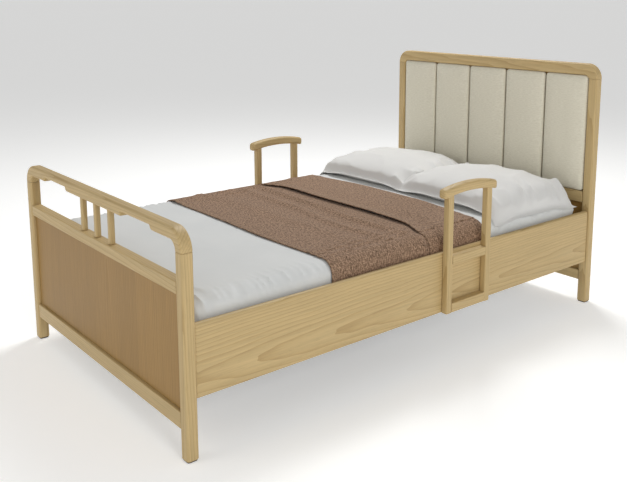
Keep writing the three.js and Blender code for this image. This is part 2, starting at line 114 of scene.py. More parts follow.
for light_name, place, size, power in (
        ("key", (5.6, -1.6, 3.0), 1.8, 90), ("fill", (-0.8, -5.2, 2.6), 2.6, 34),
        ("top", (-1.4, 1.8, 4.0), 1.6, 104)):
    light_data = bpy.data.lights.new(light_name, "AREA")
    light_data.size = size
    light_data.energy = power
    light = bpy.data.objects.new(light_name, light_data)
    light.location = place
    light.rotation_euler = (LIGHT_AIM - Vector(place)).to_track_quat("-Z", "Y").to_euler()
    bpy.context.collection.objects.link(light)
world = bpy.data.worlds.new("white_surround")
world.use_nodes = True
upward = add_node(world.node_tree, "ShaderNodeSeparateXYZ", {}, {
    0: add_node(world.node_tree, "ShaderNodeTexCoord").outputs["Generated"]}).outputs["Z"]
sky = add_node(world.node_tree, "ShaderNodeMapRange", {"interpolation_type": "SMOOTHSTEP"}, {
    "Value": upward, "From Min": 0.05, "From Max": 0.25, "To Min": 0.85, "To Max": 0.32})
world.node_tree.links.new(
    sky.outputs[0], world.node_tree.nodes["Background"].inputs["Strength"])
world.node_tree.nodes["Background"].inputs["Color"].default_value = linear("#FFFFFF")
bpy.context.scene.world = world
bpy.context.scene.view_settings.view_transform = "Standard"

# ---- Footboard ------------------------------------------------------------------------------
# Solid pale oak under satin lacquer. The posts carry a top rail with two bent corners and two
# shallow recesses under it; three spindles stand on the middle rail above a veneered panel, which
# is given darker oak tones as painted shade.


WAVE_BAND = 0.314  # the bands of a wave texture of scale 1 lie this far apart, in metres
LOG_TILT = (0.0, 0.16)
MERGE = 1e-5  # points closer than this are one point


def oak(name, grain, pale, warm, line, centre, ring=0.0085, stave=None):
    """Satin-lacquered oak: growth rings cut at a slant give long arches, with fine streaks and
    short dark pores along the grain."""
    material, tree, shader = surface(name, {
        "Roughness": 0.5, "IOR": 1.5, "Specular IOR Level": 0.35, "Coat Weight": 0.05,
        "Coat Roughness": 0.35})
    place = add_node(tree, "ShaderNodeTexCoord").outputs["Object"]
    turn = {"X": (0, 0, 0), "Y": (0, 0, -math.pi / 2), "Z": (0, math.pi / 2, 0)}[grain]
    along = add_node(tree, "ShaderNodeMapping", {}, {"Vector": place, "Rotation": turn}).outputs[0]
    shade = None
    if stave:
        across = add_node(tree, "ShaderNodeSeparateXYZ", {}, {0: place}).outputs[0]
        count = add_node(tree, "ShaderNodeMath", {"operation": "DIVIDE"}, {0: across, 1: stave})
        board = add_node(tree, "ShaderNodeMath", {"operation": "FLOOR"}, {0: count.outputs[0]})
        shade = add_node(tree, "ShaderNodeTexWhiteNoise", {"noise_dimensions": "1D"},
                         {"W": board.outputs[0]})
        along = add_node(tree, "ShaderNodeVectorMath", {"operation": "MULTIPLY_ADD"},
                         {0: shade.outputs["Color"], 1: (3.0, 0.03, 0.03), 2: along}).outputs[0]
    log = add_node(tree, "ShaderNodeMapping", {}, {
        "Vector": along, "Scale": (0.17, 1, 1), "Rotation": (0, *LOG_TILT), "Location": centre})
    rings = add_node(tree, "ShaderNodeTexWave", {
        "wave_type": "RINGS", "rings_direction": "X", "wave_profile": "SAW"}, {
        "Vector": log.outputs[0], "Scale": WAVE_BAND / ring, "Distortion": 9.0, "Detail": 3.0,
        "Detail Scale": 0.22, "Detail Roughness": 0.55})
    tone = add_node(tree, "ShaderNodeValToRGB", {}, {"Fac": rings.outputs["Fac"]})
    tone.color_ramp.elements[0].color = linear(pale)
    tone.color_ramp.elements[1].color = linear(line)
    tone.color_ramp.elements.new(0.7).color = linear(warm)
    streaks = add_node(tree, "ShaderNodeTexNoise", {}, {
        "Vector": add_node(tree, "ShaderNodeMapping", {}, {
            "Vector": along, "Scale": (4, 130, 130)}).outputs[0],
        "Scale": 1.0, "Detail": 4.0, "Roughness": 0.6})
    streak_tone = add_node(tree, "ShaderNodeMapRange", {}, {
        "Value": streaks.outputs["Fac"], "From Min": 0.3, "From Max": 0.7,
        "To Min": 0.89, "To Max": 1.07})
    pores = add_node(tree, "ShaderNodeTexNoise", {}, {
        "Vector": add_node(tree, "ShaderNodeMapping", {}, {
            "Vector": along, "Scale": (26, 640, 640)}).outputs[0],
        "Scale": 1.0, "Detail": 2.0, "Roughness": 0.5})
    pore_tone = add_node(tree, "ShaderNodeMapRange", {}, {
        "Value": pores.outputs["Fac"], "From Min": 0.58, "From Max": 0.7,
        "To Min": 1.0, "To Max": 0.87})
    depth = add_node(tree, "ShaderNodeMath", {"operation": "MULTIPLY"}, {
        0: streak_tone.outputs[0], 1: pore_tone.outputs[0]})
    if stave:
        board_tone = add_node(tree, "ShaderNodeMapRange", {}, {
            "Value": shade.outputs["Value"], "To Min": 0.93, "To Max": 1.05})
        depth = add_node(tree, "ShaderNodeMath", {"operation": "MULTIPLY"}, {
            0: depth.outputs[0], 1: board_tone.outputs[0]})
    colour = add_node(tree, "ShaderNodeVectorMath", {"operation": "SCALE"}, {
        0: tone.outputs["Color"], "Scale": depth.outputs[0]})
    tree.links.new(colour.outputs[0], shader.inputs["Base Color"])
    bump = add_node(tree, "ShaderNodeBump", {}, {
        "Height": pore_tone.outputs[0], "Strength": 0.35, "Distance": 0.0004})
    tree.links.new(bump.outputs[0], shader.inputs["Normal"])
    return material


OAK_TONES = ("#C7AE7D", "#C1A776", "#B49866")
oak_across = oak("lacquered_oak_across", "X", *OAK_TONES, centre=(0.3, 0.95, -0.62))
oak_along = oak("lacquered_oak_along", "Y", *OAK_TONES, centre=(0.1, 0.52, -0.27))
oak_upright = oak("lacquered_oak_upright", "Z", *OAK_TONES, centre=(0.2, 0.9, 0.55))
# The panels take darker oak tones than the frame: painted shade for the recessed panels, over the
# veneer's own grain and board-to-board tone.
oak_panel_painted_shade = oak("oak_veneer_panel_painted_shade", "Z", "#A48148", "#9F7B42", "#98733A",
                centre=(0.1, 1.0, 0.06), ring=0.011, stave=0.146)
SMOOTH_ANGLE = math.radians(40)


def make_piece(bm, name, material):
    """The finished mesh as an object, smooth but for its true edges."""
    mesh = bpy.data.meshes.new(name)
    bm.to_mesh(mesh)
    bm.free()
    mesh.materials.append(material)
    mesh.shade_smooth()
    mesh.set_sharp_from_angle(angle=SMOOTH_ANGLE)
    piece = bpy.data.objects.new(name, mesh)
    bpy.context.collection.objects.link(piece)
    return piece


def keep_flats_flat(piece):
    """Shades the flat faces flat beside the rounded edges."""
    piece.modifiers.new("flat_faces", "WEIGHTED_NORMAL").keep_sharp = True


def round_edges(bm, edges, radius, segments):
    """Rounds the edges over, in so many facets."""
    bmesh.ops.bevel(bm, geom=edges, offset=radius, offset_type="OFFSET", affect="EDGES",
                    segments=segments, profile=0.5, material=-1, clamp_overlap=True)


JOINT_EASE = 0.0020  # glued joints are left as a fine V


def timber(node, grain, material, edge, ends=JOINT_EASE):
    """A sawn and planed length of wood in the place of a node, its long edges rounded."""
    low, high = (Vector(corner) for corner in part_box(node))
    axis = "XYZ".index(grain)
    bm = bmesh.new()
    bmesh.ops.create_cube(bm, size=1)
    bmesh.ops.scale(bm, vec=high - low, verts=bm.verts)
    bmesh.ops.translate(bm, vec=(low + high) / 2, verts=bm.verts)
    long_edges = [e for e in bm.edges if abs((e.verts[0].co - e.verts[1].co)[axis]) > 1e-4]
    round_edges(bm, long_edges, edge, 5)
    tips = (low[axis], high[axis])
    rims = [e for e in bm.edges
            if any(all(abs(v.co[axis] - tip) < MERGE for v in e.verts) for tip in tips)]
    round_edges(bm, rims, ends, 2)
    piece = make_piece(bm, f"{node}_oak", material)
    keep_flats_flat(piece)
    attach(piece, "bed_frame")
    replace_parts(piece, node)


def bent_rail(node, post, corner, round_to, stations, lift):
    """A top rail swept from one post up, round a bent corner, across and down to the other.
    lift gives how far the underside rises at a distance from the middle of the bed."""
    low, high = (Vector(corner_point) for corner_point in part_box(node))
    joint = high.z - corner
    bend = high.x - corner
    bm = bmesh.new()
    section = bm.faces.new([bm.verts.new((x, y, joint)) for x, y in (
        (high.x - post, low.y), (high.x, low.y), (high.x, high.y), (high.x - post, high.y))])
    bmesh.ops.bevel(bm, geom=section.verts[:], offset=round_to, offset_type="OFFSET",
                    affect="VERTICES", segments=5, profile=0.5, material=-1)
    last = bm.faces[:]
    last = bmesh.ops.spin(bm, geom=last, cent=(bend, 0, joint), axis=(0, -1, 0),
                          angle=math.pi / 2, steps=14)["geom_last"]
    here = bend
    for x in [*stations, *[-s for s in reversed(stations)], -bend]:
        face = [item for item in last if isinstance(item, bmesh.types.BMFace)]
        last = bmesh.ops.extrude_face_region(bm, geom=face)["geom"]
        bmesh.ops.translate(bm, vec=(x - here, 0, 0),
                            verts=[v for v in last if isinstance(v, bmesh.types.BMVert)])
        bmesh.ops.delete(bm, geom=[f for f in face if f.is_valid], context="FACES_ONLY")
        here = x
    face = [item for item in last if isinstance(item, bmesh.types.BMFace)]
    bmesh.ops.spin(bm, geom=face, cent=(-bend, 0, joint), axis=(0, -1, 0),
                   angle=math.pi / 2, steps=14)
    bmesh.ops.remove_doubles(bm, verts=bm.verts, dist=MERGE)
    bmesh.ops.recalc_face_normals(bm, faces=bm.faces)
    middle = corner - post / 2
    for v in bm.verts:
        beyond = max(abs(v.co.x) - bend, 0.0)
        if math.hypot(beyond, v.co.z - joint) < middle:
            v.co.z += lift(abs(v.co.x))
    joints = [e for e in bm.edges if all(abs(v.co.z - joint) < MERGE for v in e.verts)
              and any(len(f.verts) > 4 for f in e.link_faces)]
    round_edges(bm, joints, JOINT_EASE, 2)
    piece = make_piece(bm, f"{node}_oak", oak_across)
    keep_flats_flat(piece)
    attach(piece, "bed_frame")
    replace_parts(piece, node)


FOOT_POST, FOOT_CORNER = 0.042, 0.072
NOTCH_FROM, NOTCH_TO, NOTCH_RISE, NOTCH_SLOPE = 0.218, 0.440, 0.015, 0.012


def notch_lift(x):
    """How far the two hand recesses rise into the footboard's top rail."""
    ramp = min((x - NOTCH_FROM) / NOTCH_SLOPE, (NOTCH_TO - x) / NOTCH_SLOPE)
    ramp = min(max(ramp, 0.0), 1.0)
    return NOTCH_RISE * ramp * ramp * (3 - 2 * ramp)


notch_stations = [NOTCH_TO - NOTCH_SLOPE * part / 5 for part in range(6)]
notch_stations += [NOTCH_FROM + NOTCH_SLOPE * part / 5 for part in range(5, -1, -1)]
for side in ("left", "right"):
    timber(f"footboard_post_{side}", "Z", oak_upright, 0.009)
bent_rail("footboard_top_rail", FOOT_POST, FOOT_CORNER, 0.009, notch_stations, notch_lift)
for number in (1, 2, 3):
    timber(f"footboard_spindle_{number}", "Z", oak_upright, 0.006)
timber("footboard_mid_rail", "X", oak_across, 0.004)
timber("footboard_bottom_rail", "X", oak_across, 0.004)
timber("footboard_panel", "Z", oak_panel_painted_shade, 0.001)

# ---- Headboard ------------------------------------------------------------------------------
# The same oak, with heavier posts and chamfered inner corners at the top, over a veneered lower
# panel and a thin board that backs the pads, these two in the panel oak whose darker tone is
# painted shade.
HEAD_POST, HEAD_CORNER = 0.045, 0.066
HEAD_RAIL = 0.052


def chamfer_lift(x):
    """The swept underside is an arc of the corner; the real one is a flat and a chamfer."""
    inner = HEAD_CORNER - HEAD_POST
    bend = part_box("headboard_top_rail")[1][0] - HEAD_CORNER
    beyond = max(x - bend, 0.0)
    swept = math.sqrt(max(inner ** 2 - beyond ** 2, 0.0))
    return min(HEAD_CORNER - HEAD_RAIL, max(inner - beyond, 0.0)) - swept


for side in ("left", "right"):
    timber(f"headboard_post_{side}", "Z", oak_upright, 0.009)
bent_rail("headboard_top_rail", HEAD_POST, HEAD_CORNER, 0.008, [0.0], chamfer_lift)
timber("headboard_mid_rail", "X", oak_across, 0.004)
timber("headboard_bottom_rail", "X", oak_across, 0.004)
timber("headboard_lower_panel", "Z", oak_panel_painted_shade, 0.001)
timber("headboard_backing", "Z", oak_panel_painted_shade, 0.001)

# ---- Side rails -----------------------------------------------------------------------------
# One deep oak board a side, hooked between the posts, with its upper edges well rounded.
for side in ("left", "right"):
    timber(f"side_rail_{side}", "Y", oak_along, 0.009, ends=0.006)

# ---- Assist handles -------------------------------------------------------------------------
# Two uprights fixed to the rail's outer face, tied by two cross rails, under an arched arm
# whose ends are rounded for the hand.
ARM_RISE, ARM_END_ROUND, ARM_EDGE_ROUND, ARM_PARTS = 0.017, 0.014, 0.011, 20
for side in ("left", "right"):
    for part in ("upright_foot", "upright_head"):
        timber(f"handle_{side}_{part}", "Z", oak_upright, 0.005)
    for part in ("upper_rail", "lower_rail"):
        timber(f"handle_{side}_{part}", "Y", oak_along, 0.003)
    node = f"handle_{side}_arm"
    low, high = (Vector(corner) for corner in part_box(node))
    high.z -= ARM_RISE
    bm = bmesh.new()
    bmesh.ops.create_cube(bm, size=1)
    bmesh.ops.scale(bm, vec=high - low, verts=bm.verts)
    bmesh.ops.translate(bm, vec=(low + high) / 2, verts=bm.verts)
    bmesh.ops.bisect_plane(bm, geom=bm.verts[:] + bm.edges[:] + bm.faces[:],
                           plane_co=(low + high) / 2, plane_no=(0, 1, 0))
    ends = [e for e in bm.edges if abs(e.verts[0].co.z - e.verts[1].co.z) > 1e-4
            and abs(abs(e.verts[0].co.y - (low.y + high.y) / 2) - (high.y - low.y) / 2) < 1e-4]
    round_edges(bm, ends, ARM_END_ROUND, 6)
    rims = [e for e in bm.edges if len(e.link_faces) == 2
            and e.calc_face_angle() > 1.0]
    round_edges(bm, rims, ARM_EDGE_ROUND, 5)
    for cut in range(1, ARM_PARTS):
        bmesh.ops.bisect_plane(bm, geom=bm.verts[:] + bm.edges[:] + bm.faces[:],
                               plane_co=(0, low.y + (high.y - low.y) * cut / ARM_PARTS, 0),
                               plane_no=(0, 1, 0))
    for v in bm.verts:
        reach = (2 * v.co.y - low.y - high.y) / (high.y - low.y)
        v.co.z += ARM_RISE * (1 - reach * reach)
    arm = make_piece(bm, f"{node}_oak", oak_along)
    keep_flats_flat(arm)
    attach(arm, "bed_frame")
    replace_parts(arm, node)

# ---- Deck, subframe, hinges and drives --------------------------------------------------------
# Welded steel under grey powder coat, plated hinge rods and push rods, and moulded housings for
# the two drives and their control box. Each edge is eased as powder coat and moulding leave it.
powder_coat, tree, shader = surface("grey_powder_coat", {"Roughness": 0.5, "Metallic": 0.0})
place = add_node(tree, "ShaderNodeTexCoord").outputs["Object"]
peel = add_node(tree, "ShaderNodeTexNoise", {}, {"Vector": place, "Scale": 420.0, "Detail": 2.0})
cloud = add_node(tree, "ShaderNodeTexNoise", {}, {"Vector": place, "Scale": 6.0, "Detail": 3.0})
tone = add_node(tree, "ShaderNodeValToRGB", {}, {"Fac": cloud.outputs["Fac"]})
tone.color_ramp.elements[0].color = linear("#7E8489")
tone.color_ramp.elements[1].color = linear("#969CA1")
bump = add_node(tree, "ShaderNodeBump", {}, {
    "Height": peel.outputs["Fac"], "Strength": 0.25, "Distance": 0.0003})
tree.links.new(tone.outputs["Color"], shader.inputs["Base Color"])
tree.links.new(bump.outputs[0], shader.inputs["Normal"])

zinc, tree, shader = surface("bright_zinc_plate", {
    "Base Color": linear("#C9CCD0"), "Metallic": 1.0})
place = add_node(tree, "ShaderNodeTexCoord").outputs["Object"]
turning = add_node(tree, "ShaderNodeTexNoise", {}, {"Vector": place, "Scale": 160.0, "Detail": 3.0})
gloss = add_node(tree, "ShaderNodeMapRange", {}, {
    "Value": turning.outputs["Fac"], "To Min": 0.2, "To Max": 0.4})
tree.links.new(gloss.outputs[0], shader.inputs["Roughness"])


def moulded(name, colour, grain):
    """Injection-moulded plastic with a fine spark-eroded grain."""
    material, tree, shader = surface(name, {
        "Base Color": linear(colour), "Roughness": 0.55, "IOR": 1.5})
    place = add_node(tree, "ShaderNodeTexCoord").outputs["Object"]
    cells = add_node(tree, "ShaderNodeTexVoronoi", {}, {"Vector": place, "Scale": 1 / grain})
    bump = add_node(tree, "ShaderNodeBump", {}, {
        "Height": cells.outputs["Distance"], "Strength": 0.3, "Distance": 0.0003})
    tree.links.new(bump.outputs[0], shader.inputs["Normal"])
    return material


housing = moulded("moulded_housing", "#3A3D40", 0.0018)
nylon = moulded("dark_nylon", "#332B24", 0.0015)


EASE_FROM = math.radians(32)  # a sharper turn than this is an edge and is eased


def eased_copy(node, material, body, edge):
    """The node's own shape with merged vertices and eased edges."""
    bm = bmesh.new()
    bm.from_mesh(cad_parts[node].data)
    bmesh.ops.remove_doubles(bm, verts=bm.verts, dist=MERGE)
    bmesh.ops.dissolve_limit(bm, angle_limit=math.radians(1), verts=bm.verts, edges=bm.edges)
    piece = make_piece(bm, f"{node}_finished", material)
    ease = piece.modifiers.new("eased_edges", "BEVEL")
    ease.width = edge
    ease.segments = 2
    ease.limit_method = "ANGLE"
    ease.angle_limit = EASE_FROM
    ease.harden_normals = True
    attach(piece, body)
    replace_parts(piece, node)


for node, body in (("subframe", "bed_frame"), ("seat_section", "bed_frame"),
                   ("back_section", "back_rest"), ("thigh_section", "thigh_rest"),
                   ("calf_section", "calf_rest")):
    eased_copy(node, powder_coat, body, 0.0008)
for node, body in (("back_hinge_rod", "bed_frame"), ("thigh_hinge_rod", "bed_frame"),
                   ("knee_hinge_rod", "thigh_rest"), ("back_push_rod", "back_push"),
                   ("thigh_push_rod", "thigh_push")):
    eased_copy(node, zinc, body, 0.0007)
for node in ("back_drive", "thigh_drive", "control_box"):
    eased_copy(node, housing, "bed_frame", 0.0015)
for side in ("left", "right"):
    eased_copy(f"calf_glide_{side}", nylon, "calf_rest", 0.0008)
    for board in ("footboard", "headboard"):
        eased_copy(f"{board}_glide_{side}", nylon, "bed_frame", 0.0006)

# ---- Screws ---------------------------------------------------------------------------------
# Zinc-plated hexagon screws with washers hold the subframe's tabs to the side rails from below.
SCREW_X = 0.576
SCREW_PLACES = (-0.825, -0.775, -0.025, 0.025, 0.775, 0.825)
WASHER = (0.008, 24, 0.2545, 0.2559)  # radius, sides, bottom and top
SCREW_HEAD = (0.0065, 6, 0.249, 0.2545)
bm = bmesh.new()
for side in (-1, 1):
    for y in SCREW_PLACES:
        for radius, sides, bottom, top in (WASHER, SCREW_HEAD):
            made = bmesh.ops.create_cone(bm, cap_ends=True, segments=sides, radius1=radius,
                                         radius2=radius, depth=top - bottom)["verts"]
            bmesh.ops.translate(bm, vec=(side * SCREW_X, y, (top + bottom) / 2), verts=made)
screws = make_piece(bm, "subframe_screws", zinc)
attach(screws, "bed_frame")

# ---- Headboard pads -------------------------------------------------------------------------
# Five foam pads covered in a woven linen-look cloth: each crowns between its edges and its
# cover turns in at a seam all round.
linen, tree, shader = surface("oatmeal_linen_weave", {
    "Roughness": 0.9, "Sheen Weight": 0.25, "Sheen Roughness": 0.5, "Specular IOR Level": 0.25})
place = add_node(tree, "ShaderNodeTexCoord").outputs["Object"]
THREAD = 0.0026  # drawn coarse enough to show
warp = add_node(tree, "ShaderNodeTexWave", {"bands_direction": "X"}, {
    "Vector": place, "Scale": WAVE_BAND / THREAD, "Distortion": 1.2, "Detail": 1.0,
    "Detail Scale": 0.6})
weft = add_node(tree, "ShaderNodeTexWave", {"bands_direction": "Z"}, {
    "Vector": place, "Scale": WAVE_BAND / THREAD, "Distortion": 1.2, "Detail": 1.0,
    "Detail Scale": 0.6})
weave = add_node(tree, "ShaderNodeMath", {"operation": "ADD"}, {
    0: warp.outputs["Fac"], 1: weft.outputs["Fac"]})
slubs = add_node(tree, "ShaderNodeTexNoise", {}, {
    "Vector": add_node(tree, "ShaderNodeMapping", {}, {
        "Vector": place, "Scale": (60, 60, 420)}).outputs[0],
    "Scale": 1.0, "Detail": 3.0, "Roughness": 0.7})
tone = add_node(tree, "ShaderNodeValToRGB", {}, {"Fac": slubs.outputs["Fac"]})
tone.color_ramp.elements[0].position = 0.3
tone.color_ramp.elements[0].color = linear("#D6D0BC")
tone.color_ramp.elements[1].position = 0.72
tone.color_ramp.elements[1].color = linear("#E9E4D2")
bump = add_node(tree, "ShaderNodeBump", {}, {
    "Height": weave.outputs[0], "Strength": 0.5, "Distance": 0.0005})
tree.links.new(tone.outputs["Color"], shader.inputs["Base Color"])
tree.links.new(bump.outputs[0], shader.inputs["Normal"])

PAD_CROWN, PAD_EDGE, PAD_GAP = 0.015, 0.016, 0.0026
PAD_DEPTH_EDGE, PAD_RIPPLE = 0.009, 0.0011


def soft_block(low, high, cuts, radius):
    """A box divided evenly along each axis and rounded all over."""
    bm = bmesh.new()
    bmesh.ops.create_cube(bm, size=1)
    bmesh.ops.scale(bm, vec=high - low, verts=bm.verts)
    bmesh.ops.translate(bm, vec=(low + high) / 2, verts=bm.verts)
    for axis, count in enumerate(cuts):
        edges = [e for e in bm.edges if abs((e.verts[0].co - e.verts[1].co)[axis]) > 1e-6]
        bmesh.ops.subdivide_edges(bm, edges=edges, cuts=count, use_grid_fill=True)
    for v in bm.verts:
        inside = Vector([min(max(v.co[i], low[i] + radius[i]), high[i] - radius[i])
                         for i in range(3)])
        out = Vector([(v.co[i] - inside[i]) / radius[i] for i in range(3)])
        if out.length > 1e-6:
            out.normalize()
            v.co = inside + Vector([out[i] * radius[i] for i in range(3)])
    return bm


for number in range(1, 6):
    node = f"headboard_pad_{number}"
    low, high = (Vector(corner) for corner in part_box(node))
    low.x, high.x = low.x + PAD_GAP, high.x - PAD_GAP
    bm = soft_block(low, high, (26, 3, 58), Vector((PAD_EDGE, PAD_DEPTH_EDGE, PAD_EDGE)))
    middle = (low + high) / 2
    for v in bm.verts:
        across = abs(v.co.x - middle.x) / (high.x - middle.x)
        up = abs(v.co.z - middle.z) / (high.z - middle.z)
        crown = (1 - across ** 2.8) * (1 - up ** 10)
        front = max(0.0, (middle.y - v.co.y) / (middle.y - low.y))
        ripple = noise.noise(Vector((v.co.x * 14, number * 3.1, v.co.z * 9))) * PAD_RIPPLE
        v.co.y -= front * crown * (PAD_CROWN + ripple)
    pad = make_piece(bm, f"{node}_cover", linen)
    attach(pad, "bed_frame")
    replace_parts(pad, node)

# ---- Mattress -------------------------------------------------------------------------------
# One foam mattress in a fitted cotton sheet, made in three lengths that meet in the thigh and seat
# zones, under the throw.
cotton, tree, shader = surface("percale_sheet", {
    "Roughness": 0.85, "Sheen Weight": 0.2, "Sheen Roughness": 0.5, "Specular IOR Level": 0.3})
place = add_node(tree, "ShaderNodeTexCoord").outputs["Object"]
cloud = add_node(tree, "ShaderNodeTexNoise", {}, {"Vector": place, "Scale": 5.0, "Detail": 4.0})
tone = add_node(tree, "ShaderNodeValToRGB", {}, {"Fac": cloud.outputs["Fac"]})
tone.color_ramp.elements[0].color = linear("#D0D2D1")
tone.color_ramp.elements[1].color = linear("#DEDFDD")
threads = add_node(tree, "ShaderNodeTexNoise", {}, {"Vector": place, "Scale": 900.0, "Detail": 1.0})
bump = add_node(tree, "ShaderNodeBump", {}, {
    "Height": threads.outputs["Fac"], "Strength": 0.2, "Distance": 0.0002})
tree.links.new(tone.outputs["Color"], shader.inputs["Base Color"])
tree.links.new(bump.outputs[0], shader.inputs["Normal"])

MATTRESS_EDGE = 0.050
BASE_BAND, BACK_HOLLOW, THIGH_HOLLOW = 0.03, 0.019, 0.006  # room under the bends
KNEE_ZONE, THIGH_ZONE, BACK_ZONE = (-0.475, -0.335), (-0.160, -0.010), (0.010, 0.380)
THIGH_SEAM, SEAT_SEAM = -0.245, 0.002
mattress_low = Vector(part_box("mattress_calf")[0])
mattress_high = Vector(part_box("mattress_back")[1])


def smooth_step(t):
    t = min(max(t, 0.0), 1.0)
    return t * t * (3 - 2 * t)


def hump(y, start, end):
    """1 in the middle of a zone, falling smoothly to 0 at its ends."""
    return smooth_step(2 * (y - start) / (end - start)) * smooth_step(2 * (end - y) / (end - start))


def crease(place):
    """Narrow folds with broad hollows between them, from -0.3 to 0.7."""
    return (1 - min(abs(noise.noise(place)) * 1.6, 1.0)) ** 2 - 0.3


def sheet_ripple(point):
    """How far the sheet stands off the foam: faint broad pulls and, down the sides, gathers."""
    broad = noise.noise(Vector((point.x * 2.2, point.y * 3.1, 0.4))) * 0.0022
    pull = noise.noise(Vector((point.x * 9 + point.y * 4, point.y * 2.5, 5.0))) * 0.0009
    side = smooth_step((abs(point.x) - 0.47) / 0.10) + smooth_step((-0.90 - point.y) / 0.08)
    gather = crease(Vector((point.x * 4, point.y * 30 + point.z * 9, point.z * 2))) * 0.0060
    loose = smooth_step((point.y - 0.36) / 0.1) * 0.0100 * crease(
        Vector((point.y * 13 - point.z * 9, point.x * 9 + point.z * 15, 3.0)))
    return broad + pull + min(side, 1.0) * (gather + loose)


bm = soft_block(mattress_low, mattress_high, (104, 340, 12), Vector([MATTRESS_EDGE] * 3))
bm.normal_update()
for v in bm.verts:
    if v.normal.z > -0.5:
        v.co += v.normal * sheet_ripple(v.co)
    v.co.x = min(max(v.co.x, mattress_low.x), mattress_high.x)
    if v.co.z < mattress_low.z + BASE_BAND:
        v.co.z += (BACK_HOLLOW * hump(v.co.y, -0.02, 0.40)
                   + THIGH_HOLLOW * hump(v.co.y, *THIGH_ZONE))

LENGTHS = (
    ("foot", None, THIGH_SEAM, ("calf_rest", "thigh_rest"), KNEE_ZONE, ("calf", "thigh")),
    ("middle", THIGH_SEAM, SEAT_SEAM, ("thigh_rest", "bed_frame"), THIGH_ZONE, ("seat",)),
    ("head", SEAT_SEAM, None, ("bed_frame", "back_rest"), BACK_ZONE, ("back",)),
)


def cut_length(bm, start, end, close):
    """A copy of the mesh between two planes across the bed."""
    part = bm.copy()
    for limit, way in ((start, -1), (end, 1)):
        if limit is None:
            continue
        cut = bmesh.ops.bisect_plane(part, geom=part.verts[:] + part.edges[:] + part.faces[:],
                                     plane_co=(0, limit, 0), plane_no=(0, way, 0),
                                     clear_outer=True)["geom_cut"]
        if close:
            bmesh.ops.holes_fill(part, edges=[e for e in cut if isinstance(e, bmesh.types.BMEdge)],
                                 sides=0)
    return part


for length, start, end, bodies, zone, nodes in LENGTHS:
    piece = make_piece(cut_length(bm, start, end, True), f"mattress_{length}", cotton)
    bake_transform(piece)
    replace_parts(piece, *[f"mattress_{name}" for name in nodes])
bm.free()

# ---- Throw ----------------------------------------------------------------------------------
# A heather-brown knitted throw laid across the middle of the bed, its sides tucked down between
# mattress and rails and its head end turned back in a deep cuff.
knit, tree, shader = surface("heather_brown_knit", {
    "Roughness": 0.95, "Sheen Weight": 0.08, "Sheen Roughness": 0.5, "Specular IOR Level": 0.15})
STITCH = 0.007  # a chunky stitch, so that the rows show
cloth_place = add_node(tree, "ShaderNodeUVMap", {"uv_map": "cloth"}).outputs[0]
ribs = add_node(tree, "ShaderNodeTexWave", {"bands_direction": "X"}, {
    "Vector": cloth_place, "Scale": WAVE_BAND / STITCH, "Distortion": 0.8, "Detail": 1.0})
rows = add_node(tree, "ShaderNodeTexWave", {"bands_direction": "Y"}, {
    "Vector": cloth_place, "Scale": WAVE_BAND / (STITCH * 0.8), "Distortion": 1.5, "Detail": 1.0})
stitches = add_node(tree, "ShaderNodeMath", {"operation": "MULTIPLY"}, {
    0: ribs.outputs["Fac"], 1: rows.outputs["Fac"]})
heather = add_node(tree, "ShaderNodeTexNoise", {}, {
    "Vector": add_node(tree, "ShaderNodeMapping", {}, {
        "Vector": cloth_place, "Scale": (95, 240, 1)}).outputs[0],
    "Scale": 1.0, "Detail": 3.0, "Roughness": 0.8, "Distortion": 0.6})
tone = add_node(tree, "ShaderNodeValToRGB", {}, {"Fac": heather.outputs["Fac"]})
tone.color_ramp.elements[0].position = 0.38
tone.color_ramp.elements[0].color = linear("#614B3A")
tone.color_ramp.elements[1].position = 0.64
tone.color_ramp.elements[1].color = linear("#C4A286")
# The stitches' own height scales the colour, darker in the hollows and lighter on the tops: painted
# shade and painted highlight over the heather's own tone.
stitch_shade_and_highlight = add_node(tree, "ShaderNodeMapRange", {}, {
    "Value": stitches.outputs[0], "To Min": 0.82, "To Max": 1.12})
colour = add_node(tree, "ShaderNodeVectorMath", {"operation": "SCALE"}, {
    0: tone.outputs["Color"], "Scale": stitch_shade_and_highlight.outputs[0]})
bump = add_node(tree, "ShaderNodeBump", {}, {
    "Height": stitches.outputs[0], "Strength": 0.7, "Distance": 0.0012})
tree.links.new(colour.outputs[0], shader.inputs["Base Color"])
tree.links.new(bump.outputs[0], shader.inputs["Normal"])

THROW_THICK = 0.0035
THROW_HALF = 0.655  # from the middle of the bed to the tucked edge, measured over the cloth
THROW_FOOT, THROW_CUFF, THROW_HEAD, MAIN_END = -0.470, 0.062, 0.385, 0.085
MAIN_LIFT, CUFF_LIFT, FOLD_LIFT = 0.0030, 0.0085, 0.0110
SIDE_LIFT = 0.0075  # the most that the cloth stands off where it goes down the side
HEM_THICK, HEM_WIDE = 0.0014, 0.022
CUFF_GAPE = 0.0075  # how far the cuff's free edge stands open
UNDER_LIFT, LEAST_LIFT = 0.0005, 0.0019


def over_mattress(across, y, lift):
    """The place of a point of cloth that lies over the mattress and down its side."""
    flat = mattress_high.x - MATTRESS_EDGE
    side, run = math.copysign(1, across), abs(across)
    radius = MATTRESS_EDGE + min(lift, SIDE_LIFT)
    turn = min(max(run - flat, 0) / radius, math.pi / 2)
    drop = max(run - flat - radius * math.pi / 2, 0)
    rise = lift if run < flat else min(lift, SIDE_LIFT)
    return Vector((
        side * (min(run, flat) + radius * math.sin(turn)), y,
        mattress_high.z - MATTRESS_EDGE + (MATTRESS_EDGE + rise) * math.cos(turn) - drop))


def ridge(value, centre, width):
    """A smooth fold of unit height."""
    return math.exp(-((value - centre) / width) ** 2)


